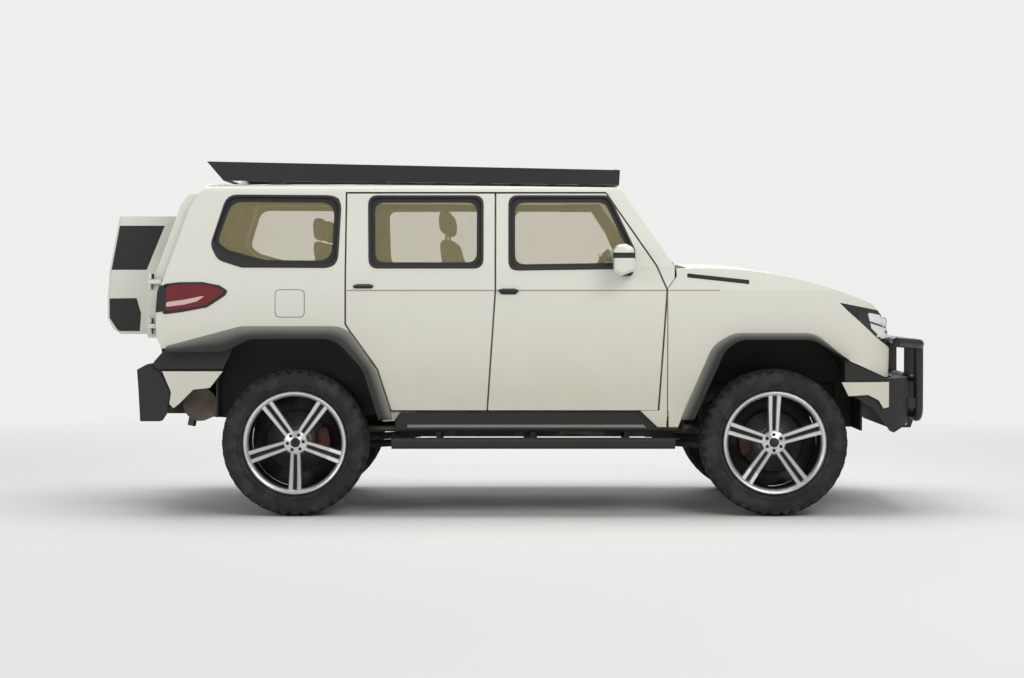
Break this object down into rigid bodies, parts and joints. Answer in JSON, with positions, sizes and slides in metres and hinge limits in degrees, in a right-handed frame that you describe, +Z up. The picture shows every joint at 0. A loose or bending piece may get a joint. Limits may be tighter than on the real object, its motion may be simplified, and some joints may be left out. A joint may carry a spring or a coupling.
{
  "type": "lifted off-road vehicle",
  "caption": "Lifted five-door off-road 4x4 with a ladder frame, steered front wheels, roof rack, front guard and opening doors, hood and side-hinged tailgate.",
  "frame": {"origin": "on the ground, on the centre line, midway between the front guard's and the tailgate box's extremes", "axes": "+X forward, +Y to the vehicle's left, +Z up"},
  "size_m": [4.81, 2.15, 2.035],
  "materials": {
    "body_paint": "gloss",
    "black_plastic": "grained",
    "black_paint": "satin",
    "frame_paint": "matt",
    "cast_metal": "rough",
    "steel": "dull",
    "glass": "polished",
    "lamp_cover": "gloss",
    "tyre_rubber": "matt",
    "alloy": "satin",
    "seat_cloth": "woven",
    "trim_plastic": "grained"
  },
  "bodies": {
    "chassis": {"side_frames": "body_paint", "fixed_windows": "glass", "roof_panel": "body_paint", "roof_rack": "black_paint", "floor_pan": "body_paint", "front_fenders": "body_paint", "lamps": "lamp_cover", "grille": "black_plastic", "bumpers": "black_plastic", "front_guard": "black_paint", "bumper_corners": "body_paint", "wheel_arch_flares": "black_plastic", "wheel_liners": "black_plastic", "side_steps": "black_plastic", "ladder_frame": "frame_paint", "powertrain": "cast_metal", "exhaust": "steel", "fuel_tank": "black_plastic", "axles": "cast_metal", "suspension": "frame_paint", "dashboard": "trim_plastic", "seats": "seat_cloth"},
    "hood_lid": {"hood": "body_paint"},
    "front_right_door": {"door_front_right": "body_paint", "window_front_right": "glass", "mirror_right": "black_paint"},
    "front_left_door": {"door_front_left": "body_paint", "window_front_left": "glass", "mirror_left": "black_paint"},
    "rear_right_door": {"door_rear_right": "body_paint", "window_rear_right": "glass"},
    "rear_left_door": {"door_rear_left": "body_paint", "window_rear_left": "glass"},
    "rear_gate": {"tailgate": "body_paint", "tailgate_window": "glass", "rear_box": "body_paint"},
    "right_knuckle": {"knuckle_right": "cast_metal"},
    "left_knuckle": {"knuckle_left": "cast_metal"},
    "front_right_wheel": {"tyre_front_right": "tyre_rubber", "rim_front_right": "alloy"},
    "front_left_wheel": {"tyre_front_left": "tyre_rubber", "rim_front_left": "alloy"},
    "rear_right_wheel": {"tyre_rear_right": "tyre_rubber", "rim_rear_right": "alloy"},
    "rear_left_wheel": {"tyre_rear_left": "tyre_rubber", "rim_rear_left": "alloy"},
    "steering": {"steering_wheel": "trim_plastic"}
  },
  "joints": [
    {"name": "steer_left", "type": "hinge", "parent": "chassis", "child": "left_knuckle", "pos_m": [1.5, 0.69, 0.419], "axis": [0, 0, 1], "range_deg": [-30, 30]},
    {"name": "steer_right", "type": "hinge", "parent": "chassis", "child": "right_knuckle", "pos_m": [1.5, -0.69, 0.419], "axis": [0, 0, 1], "range_deg": [-30, 30]},
    {"name": "steering_column", "type": "hinge", "parent": "chassis", "child": "steering", "pos_m": [0.505, 0.37, 1.372], "axis": [-0.8595, 0, 0.5111], "range_deg": [-420, 420]},
    {"name": "wheel_spin_front_right", "type": "hinge", "parent": "right_knuckle", "child": "front_right_wheel", "pos_m": [1.5, -0.806, 0.419], "axis": [0, 1, 0], "continuous": true},
    {"name": "wheel_spin_front_left", "type": "hinge", "parent": "left_knuckle", "child": "front_left_wheel", "pos_m": [1.5, 0.806, 0.419], "axis": [0, 1, 0], "continuous": true},
    {"name": "wheel_spin_rear_right", "type": "hinge", "parent": "chassis", "child": "rear_right_wheel", "pos_m": [-1.24, -0.806, 0.419], "axis": [0, 1, 0], "continuous": true},
    {"name": "wheel_spin_rear_left", "type": "hinge", "parent": "chassis", "child": "rear_left_wheel", "pos_m": [-1.24, 0.806, 0.419], "axis": [0, 1, 0], "continuous": true},
    {"name": "door_swing_front_right", "type": "hinge", "parent": "chassis", "child": "front_right_door", "pos_m": [0.845, -0.878, 1], "axis": [0, 0, 1], "range_deg": [0, 65]},
    {"name": "door_swing_front_left", "type": "hinge", "parent": "chassis", "child": "front_left_door", "pos_m": [0.845, 0.878, 1], "axis": [0, 0, -1], "range_deg": [0, 65]},
    {"name": "door_swing_rear_right", "type": "hinge", "parent": "chassis", "child": "rear_right_door", "pos_m": [-0.14, -0.878, 1], "axis": [0, 0, 1], "range_deg": [0, 65]},
    {"name": "door_swing_rear_left", "type": "hinge", "parent": "chassis", "child": "rear_left_door", "pos_m": [-0.14, 0.878, 1], "axis": [0, 0, -1], "range_deg": [0, 65]},
    {"name": "tailgate_swing", "type": "hinge", "parent": "chassis", "child": "rear_gate", "pos_m": [-2.08, -0.816, 1.2], "axis": [0, 0, 1], "range_deg": [0, 90]},
    {"name": "hood_lift", "type": "hinge", "parent": "chassis", "child": "hood_lid", "pos_m": [1.016, 0, 1.408], "axis": [0, -1, 0], "range_deg": [0, 55]}
  ],
  "couplings": [
    {"joint": "steer_right", "follows": "steer_left", "ratio": 1},
    {"joint": "steering_column", "follows": "steer_left", "ratio": 14}
  ]
}
